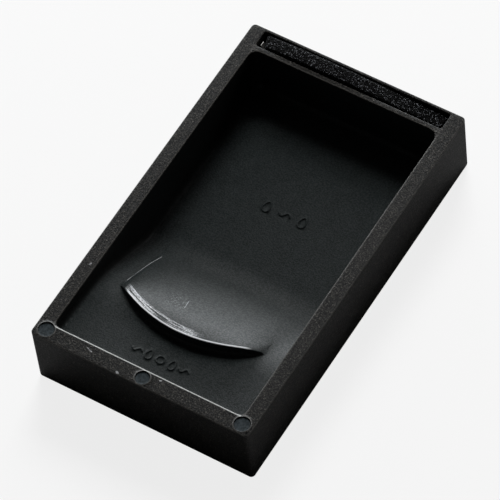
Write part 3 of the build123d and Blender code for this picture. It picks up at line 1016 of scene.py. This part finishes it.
# the tape under the strip, in millimetres; its tail is a path in x and z
tape = {
    "right": 33.1, "left": -30.9, "near": 58.75, "far": 63.45, "level": 20.3, "halfThick": 0.09,
    "columns": 40,
    "tail": [(-31.3, 20.36), (-31.62, 20.7), (-31.76, 21.3), (-31.95, 22.0), (-32.15, 22.7), (-32.33, 23.38)],
    "tailNear": 59.4, "tailFar": 61.4, "tailRows": 2, "across": 6, "sharpAbove": 50,
    # torn edges of the tail: size, pace and start of their waves, and how much it narrows at each row
    "tearNear": (0.12, 2.1, 0), "tearFar": (0.14, 1.7, 1), "narrowing": 0.1,
    "dirt": (1.6, 4.0, 0.6), "dirtFade": (0.4, 0.75),
    "clean": (0.93, 0.92, 0.89), "dirty": (0.66, 0.65, 0.61),
    "rough": 0.22, "dirtRough": 0.2, "bumpStrength": 0.3, "bumpDepth": 0.05,
}


def tapeMesh(material):
    # a film with a torn tail that curls up beyond the strip's left end
    shell = Shell()
    path = [(x, tape["level"]) for x in np.linspace(tape["right"], tape["left"], tape["columns"])]
    path = np.array(path + tape["tail"])
    ahead = np.gradient(path, axis=0)
    ahead /= np.linalg.norm(ahead, axis=1)[:, None]
    normal = np.stack([ahead[:, 1], -ahead[:, 0]], axis=1)

    def tear(index, size, pace, start):
        return size * math.sin(index * pace + start)

    sections = []
    for index, (spot, up) in enumerate(zip(path, normal)):
        along = index - tape["columns"]
        share = min(max((along + 1) / tape["tailRows"], 0), 1)
        near = tape["near"] + (tape["tailNear"] - tape["near"]) * share
        far = tape["far"] + (tape["tailFar"] - tape["far"]) * share
        if share == 1:
            near += tear(index, *tape["tearNear"])
            far += tear(index, *tape["tearFar"]) - tape["narrowing"] * along
        ys = np.linspace(near, far, tape["across"])
        section = []
        for way in (1, -1):
            for y in ys[::way]:
                x, z = spot + up * way * tape["halfThick"]
                section.append(len(shell.points))
                shell.points.append((float(x), float(y), float(z)))
        sections.append(section)
    for one, other in zip(sections, sections[1:]):
        shell.bridge(one, other)
    shell.faces.append(tuple(sections[0]))
    shell.faces.append(tuple(sections[-1][::-1]))
    return shell.build("tapeFilm", material, tape["sharpAbove"])


def tapeFinish():
    f = Finish("paleTape")
    dirt = f.grain(f.place(), *tape["dirt"])
    colour = f.blend(dirt.fade(*tape["dirtFade"]), tape["clean"], tape["dirty"])
    bump = f.bump(tape["bumpStrength"], tape["bumpDepth"], dirt)
    rough = tape["rough"] + tape["dirtRough"] * dirt
    return f.coat({"Base Color": colour, "Roughness": rough, "Normal": bump})


tapePiece = tapeMesh(tapeFinish())
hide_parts("strip_tape")
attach(tapePiece, "root")
print("tape made:", len(tapePiece.data.polygons), "faces")


# floor, lamps and camera, in metres, watts and degrees
stage = {
    "floorSize": 3.0, "floorShade": 0.97, "shadowShare": 0.15, "floorBounce": 0.36, "worldShade": 0.015,
    # azimuth runs to the left from straight behind the stone
    "lamps": {
        "keySoftbox": {"azimuth": 24.5, "elevation": 46.5, "distance": 1.6, "width": 0.55, "height": 0.55,
                       "power": 20.0, "mirrored": False},
        "backPanel": {"azimuth": 15.0, "elevation": 26.0, "distance": 1.8, "width": 3.2, "height": 0.9,
                      "power": 8.0},
        "lowPanel": {"azimuth": 34.0, "elevation": 7.5, "distance": 0.6, "width": 0.75, "height": 0.13,
                     "power": 3.3, "tint": (0.93, 0.97, 1.0)},
    },
    # the camera: focal length and picture width in pixels, sensor in millimetres
    "focal": 4523.14, "pictureWidth": 500, "sensor": 36, "clipEnd": 20,
    "cameraAt": (0.46675, -0.60516, 1.16765), "cameraTurn": (33.19897, 4.25095, 31.26934),
}


def floorFinish():
    f = Finish("paleFloor")
    seen = f.add("ShaderNodeLightPath", out="Is Camera Ray")
    glow = f.add("ShaderNodeEmission", None, {"Color": (stage["floorShade"],) * 3, "Strength": 1.0})
    lit = f.add("ShaderNodeBsdfDiffuse", None, {"Color": (stage["floorShade"],) * 3})
    dim = f.add("ShaderNodeBsdfDiffuse", None, {"Color": (stage["floorBounce"],) * 3})
    pale = f.add("ShaderNodeMixShader", None, {0: stage["shadowShare"], 1: glow, 2: lit})
    return f.close(f.add("ShaderNodeMixShader", None, {0: seen, 1: dim, 2: pale}))


def addFloor():
    half = stage["floorSize"] / 2
    mesh = bpy.data.meshes.new("floor")
    corners = [(-half, -half, 0), (half, -half, 0), (half, half, 0), (-half, half, 0)]
    mesh.from_pydata(corners, [], [(0, 1, 2, 3)])
    mesh.materials.append(floorFinish())
    floor = bpy.data.objects.new("floor", mesh)
    bpy.context.scene.collection.objects.link(floor)


def addLamp(name, azimuth, elevation, distance, width, height, power, mirrored=True, tint=(1, 1, 1)):
    turn, lift = math.radians(azimuth), math.radians(elevation)
    level = math.cos(lift)
    place = Vector((-math.sin(turn) * level, math.cos(turn) * level, math.sin(lift))) * distance
    data = bpy.data.lights.new(name, "AREA")
    data.shape = "RECTANGLE"
    data.size = width
    data.size_y = height
    data.energy = power
    data.color = tint
    lamp = bpy.data.objects.new(name, data)
    lamp.location = place
    lamp.visible_glossy = mirrored
    lamp.rotation_euler = (-place).to_track_quat("-Z", "Y").to_euler()
    bpy.context.scene.collection.objects.link(lamp)


def addCamera():
    data = bpy.data.cameras.new("photoView")
    data.sensor_width = stage["sensor"]
    data.lens = stage["focal"] / stage["pictureWidth"] * stage["sensor"]
    data.clip_end = stage["clipEnd"]
    camera = bpy.data.objects.new("photoView", data)
    camera.location = stage["cameraAt"]
    camera.rotation_euler = Euler([math.radians(turn) for turn in stage["cameraTurn"]])
    bpy.context.scene.collection.objects.link(camera)
    bpy.context.scene.camera = camera


addFloor()
for name, lamp in stage["lamps"].items():
    addLamp(name, **lamp)
addCamera()
world = bpy.data.worlds.new("studio")
world.use_nodes = True
world.node_tree.nodes["Background"].inputs["Color"].default_value = (stage["worldShade"],) * 3 + (1,)
bpy.context.scene.world = world
bpy.context.scene.view_settings.view_transform = "Standard"
print("stage made")
